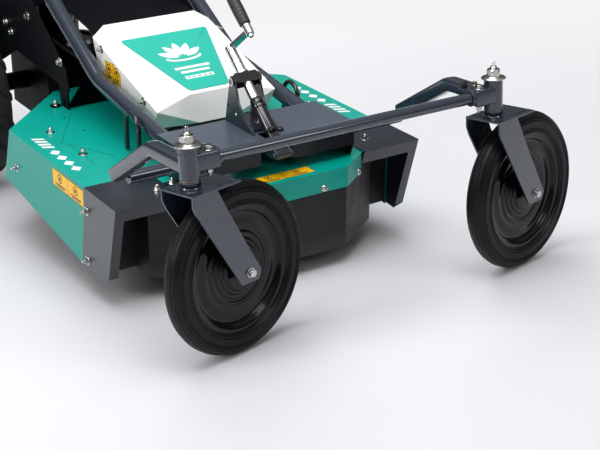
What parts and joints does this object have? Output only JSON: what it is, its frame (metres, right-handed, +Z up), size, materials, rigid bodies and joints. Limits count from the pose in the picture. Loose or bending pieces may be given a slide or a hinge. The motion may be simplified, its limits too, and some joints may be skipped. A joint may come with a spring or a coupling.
{
  "type": "mulching lawn mower",
  "caption": "Walk-behind mulching mower: green deck under a belt cover, swivelling casters on a crank-adjusted front frame, driven rear wheels, long handlebars.",
  "frame": {"origin": "centre of the footprint on the ground that the wheels stand on", "axes": "+Z up, +Y from the casters to the handlebars, +X to the right as seen from the front of the machine looking back"},
  "size_m": [1.221, 2.2458, 1.0932],
  "materials": {
    "deck_green": "semi-gloss green powder coat",
    "slate_paint": "semi-gloss dark blue-grey powder coat",
    "cover_white": "semi-gloss white paint",
    "rubber": "matt black rubber",
    "tyre": "matt black tyre rubber with tread",
    "black_paint": "gloss black paint",
    "zinc_plate": "zinc-plated steel",
    "chrome": "bright plated steel",
    "bare_steel": "bare machined steel",
    "cast_aluminium": "as-cast aluminium",
    "black_plastic": "satin black plastic"
  },
  "bodies": {
    "chassis": {"deck_shell": "deck_green", "front_skirt": "rubber", "rear_flap": "rubber", "belt_cover": "cover_white", "front_beam": "slate_paint", "jack_yoke": "slate_paint", "rotor_housing": "cast_aluminium", "drive_belt": "rubber", "engine_bed": "slate_paint", "front_shield": "black_paint", "transmission_case": "cast_aluminium", "engine_block": "cast_aluminium", "blower_housing": "black_plastic", "fuel_tank": "black_plastic", "muffler": "black_paint", "air_cleaner": "black_plastic", "handle_bridge": "slate_paint", "throttle_cable": "black_plastic", "clutch_cable": "black_plastic", "fairing_left": "slate_paint", "fairing_right": "slate_paint", "frame_tube_left": "slate_paint", "frame_tube_right": "slate_paint", "hand_grip_left": "rubber", "hand_grip_right": "rubber", "chassis_plate_left": "slate_paint", "chassis_plate_right": "slate_paint"},
    "caster_frame": {"torque_tube": "slate_paint", "cross_tube": "slate_paint", "caster_arm_left": "slate_paint", "caster_arm_right": "slate_paint"},
    "jack_body": {"jack_trunnion": "black_paint"},
    "jack_screw": {"crank": "chrome"},
    "jack_handle": {"crank_grip": "black_plastic"},
    "jack_slide": {"jack_foot": "black_paint"},
    "caster_fork_left": {"fork_left": "slate_paint", "kingpin_left": "zinc_plate"},
    "caster_fork_right": {"fork_right": "slate_paint", "kingpin_right": "zinc_plate"},
    "caster_wheel_left": {"caster_rim_left": "black_paint", "caster_tyre_left": "tyre"},
    "caster_wheel_right": {"caster_rim_right": "black_paint", "caster_tyre_right": "tyre"},
    "drive_wheel_left": {"drive_rim_left": "deck_green", "drive_tyre_left": "tyre"},
    "drive_wheel_right": {"drive_rim_right": "deck_green", "drive_tyre_right": "tyre"},
    "cutter": {"rotor": "bare_steel"},
    "blade_a": {"swing_blade_a": "bare_steel"},
    "blade_b": {"swing_blade_b": "bare_steel"},
    "output_shaft": {"engine_pulley": "bare_steel"},
    "tension_arm": {"idler_arm": "zinc_plate"},
    "tension_pulley": {"idler_pulley": "zinc_plate"},
    "bail": {"clutch_lever": "chrome"},
    "throttle": {"throttle_lever": "black_paint"},
    "shifter": {"shift_lever": "black_paint"},
    "steer_left": {"steering_lever_left": "black_paint"},
    "steer_right": {"steering_lever_right": "black_paint"},
    "tank_cap": {"fuel_cap": "black_plastic"},
    "starter": {"starter_grip": "black_plastic"}
  },
  "joints": [
    {"name": "crank_turn", "type": "hinge", "parent": "jack_body", "child": "jack_screw", "pos_m": [-0.10949, -0.60054, 0.49352], "axis": [0, 0.7145, 0.6997], "range_deg": [-233, 450]},
    {"name": "height_adjust", "type": "hinge", "parent": "chassis", "child": "caster_frame", "pos_m": [-0.10949, -0.71178, 0.347], "axis": [1, 0, 0], "range_deg": [-4.01, 7.74]},
    {"name": "jack_tilt", "type": "hinge", "parent": "chassis", "child": "jack_body", "pos_m": [-0.10949, -0.60054, 0.49352], "axis": [1, 0, 0], "range_deg": [-0.8, 1.5]},
    {"name": "jack_extend", "type": "slide", "parent": "jack_body", "child": "jack_slide", "axis": [0, -0.7145, -0.6997], "range_m": [-0.002, 0.0037]},
    {"name": "crank_grip_spin", "type": "hinge", "parent": "jack_screw", "child": "jack_handle", "pos_m": [-0.07939, -0.57996, 0.60829], "axis": [0, 0.7145, 0.6997], "continuous": true},
    {"name": "caster_swivel_left", "type": "hinge", "parent": "caster_frame", "child": "caster_fork_left", "pos_m": [-0.52449, -1.06378, 0.44], "axis": [0, 0, 1], "continuous": true},
    {"name": "caster_swivel_right", "type": "hinge", "parent": "caster_frame", "child": "caster_fork_right", "pos_m": [0.30551, -1.06378, 0.44], "axis": [0, 0, 1], "continuous": true},
    {"name": "caster_roll_left", "type": "hinge", "parent": "caster_fork_left", "child": "caster_wheel_left", "pos_m": [-0.41536, -1.03605, 0.2003], "axis": [-0.2463, 0.9692, 0], "continuous": true},
    {"name": "caster_roll_right", "type": "hinge", "parent": "caster_fork_right", "child": "caster_wheel_right", "pos_m": [0.41491, -1.03715, 0.2003], "axis": [-0.2365, 0.9716, 0], "continuous": true},
    {"name": "drive_roll_left", "type": "hinge", "parent": "chassis", "child": "drive_wheel_left", "pos_m": [-0.44449, 0.59622, 0.29], "axis": [1, 0, 0], "continuous": true},
    {"name": "drive_roll_right", "type": "hinge", "parent": "chassis", "child": "drive_wheel_right", "pos_m": [0.22551, 0.59622, 0.29], "axis": [1, 0, 0], "continuous": true},
    {"name": "rotor_spin", "type": "hinge", "parent": "chassis", "child": "cutter", "pos_m": [-0.10949, -0.3116, 0.27239], "axis": [0, -0.0854, 0.9963], "continuous": true},
    {"name": "blade_swing_a", "type": "hinge", "parent": "cutter", "child": "blade_a", "pos_m": [-0.34949, -0.301, 0.14885], "axis": [0, -0.0854, 0.9963], "range_deg": [-60, 60]},
    {"name": "blade_swing_b", "type": "hinge", "parent": "cutter", "child": "blade_b", "pos_m": [0.13051, -0.301, 0.14885], "axis": [0, -0.0854, 0.9963], "range_deg": [-60, 60]},
    {"name": "engine_shaft_spin", "type": "hinge", "parent": "chassis", "child": "output_shaft", "pos_m": [-0.10949, 0.44392, 0.42749], "axis": [0, -0.0854, 0.9963], "continuous": true},
    {"name": "clutch_bail", "type": "hinge", "parent": "chassis", "child": "bail", "pos_m": [-0.10949, 0.90662, 1.00098], "axis": [1, 0, 0], "range_deg": [0, 34.4]},
    {"name": "idler_swing", "type": "hinge", "parent": "chassis", "child": "tension_arm", "pos_m": [0.05551, 0.0037, 0.35262], "axis": [0, -0.0854, 0.9963], "range_deg": [-14.5, 0]},
    {"name": "idler_spin", "type": "hinge", "parent": "tension_arm", "child": "tension_pulley", "pos_m": [0.00663, 0.07527, 0.39589], "axis": [0, -0.0854, 0.9963], "continuous": true},
    {"name": "throttle_turn", "type": "hinge", "parent": "chassis", "child": "throttle", "pos_m": [-0.19949, 0.83113, 1.00354], "axis": [1, 0, 0], "range_deg": [-25.8, 25.8]},
    {"name": "shift_turn", "type": "hinge", "parent": "chassis", "child": "shifter", "pos_m": [-0.01949, 0.83113, 1.00354], "axis": [1, 0, 0], "range_deg": [-25.8, 25.8]},
    {"name": "steering_clutch_left", "type": "hinge", "parent": "chassis", "child": "steer_left", "pos_m": [-0.40949, 0.92472, 0.96237], "axis": [1, 0, 0], "range_deg": [0, 5.15]},
    {"name": "steering_clutch_right", "type": "hinge", "parent": "chassis", "child": "steer_right", "pos_m": [0.19051, 0.92472, 0.96237], "axis": [1, 0, 0], "range_deg": [0, 5.15]},
    {"name": "fuel_cap_turn", "type": "hinge", "parent": "chassis", "child": "tank_cap", "pos_m": [-0.02949, 0.66411, 0.7274], "axis": [0, -0.0854, 0.9963], "range_deg": [0, 120]},
    {"name": "starter_pull", "type": "slide", "parent": "chassis", "child": "starter", "axis": [0, 0.9963, 0.0854], "range_m": [0, 0.15]}
  ],
  "couplings": [
    {"joint": "height_adjust", "follows": "crank_turn", "ratio": 0.017182},
    {"joint": "jack_tilt", "follows": "crank_turn", "ratio": 0.003299},
    {"joint": "jack_extend", "follows": "crank_turn", "m_per_rad": 0.00046735},
    {"joint": "engine_shaft_spin", "follows": "rotor_spin", "ratio": 1.5401},
    {"joint": "idler_spin", "follows": "rotor_spin", "ratio": -3.46},
    {"joint": "idler_swing", "follows": "clutch_bail", "ratio": -0.4167}
  ]
}
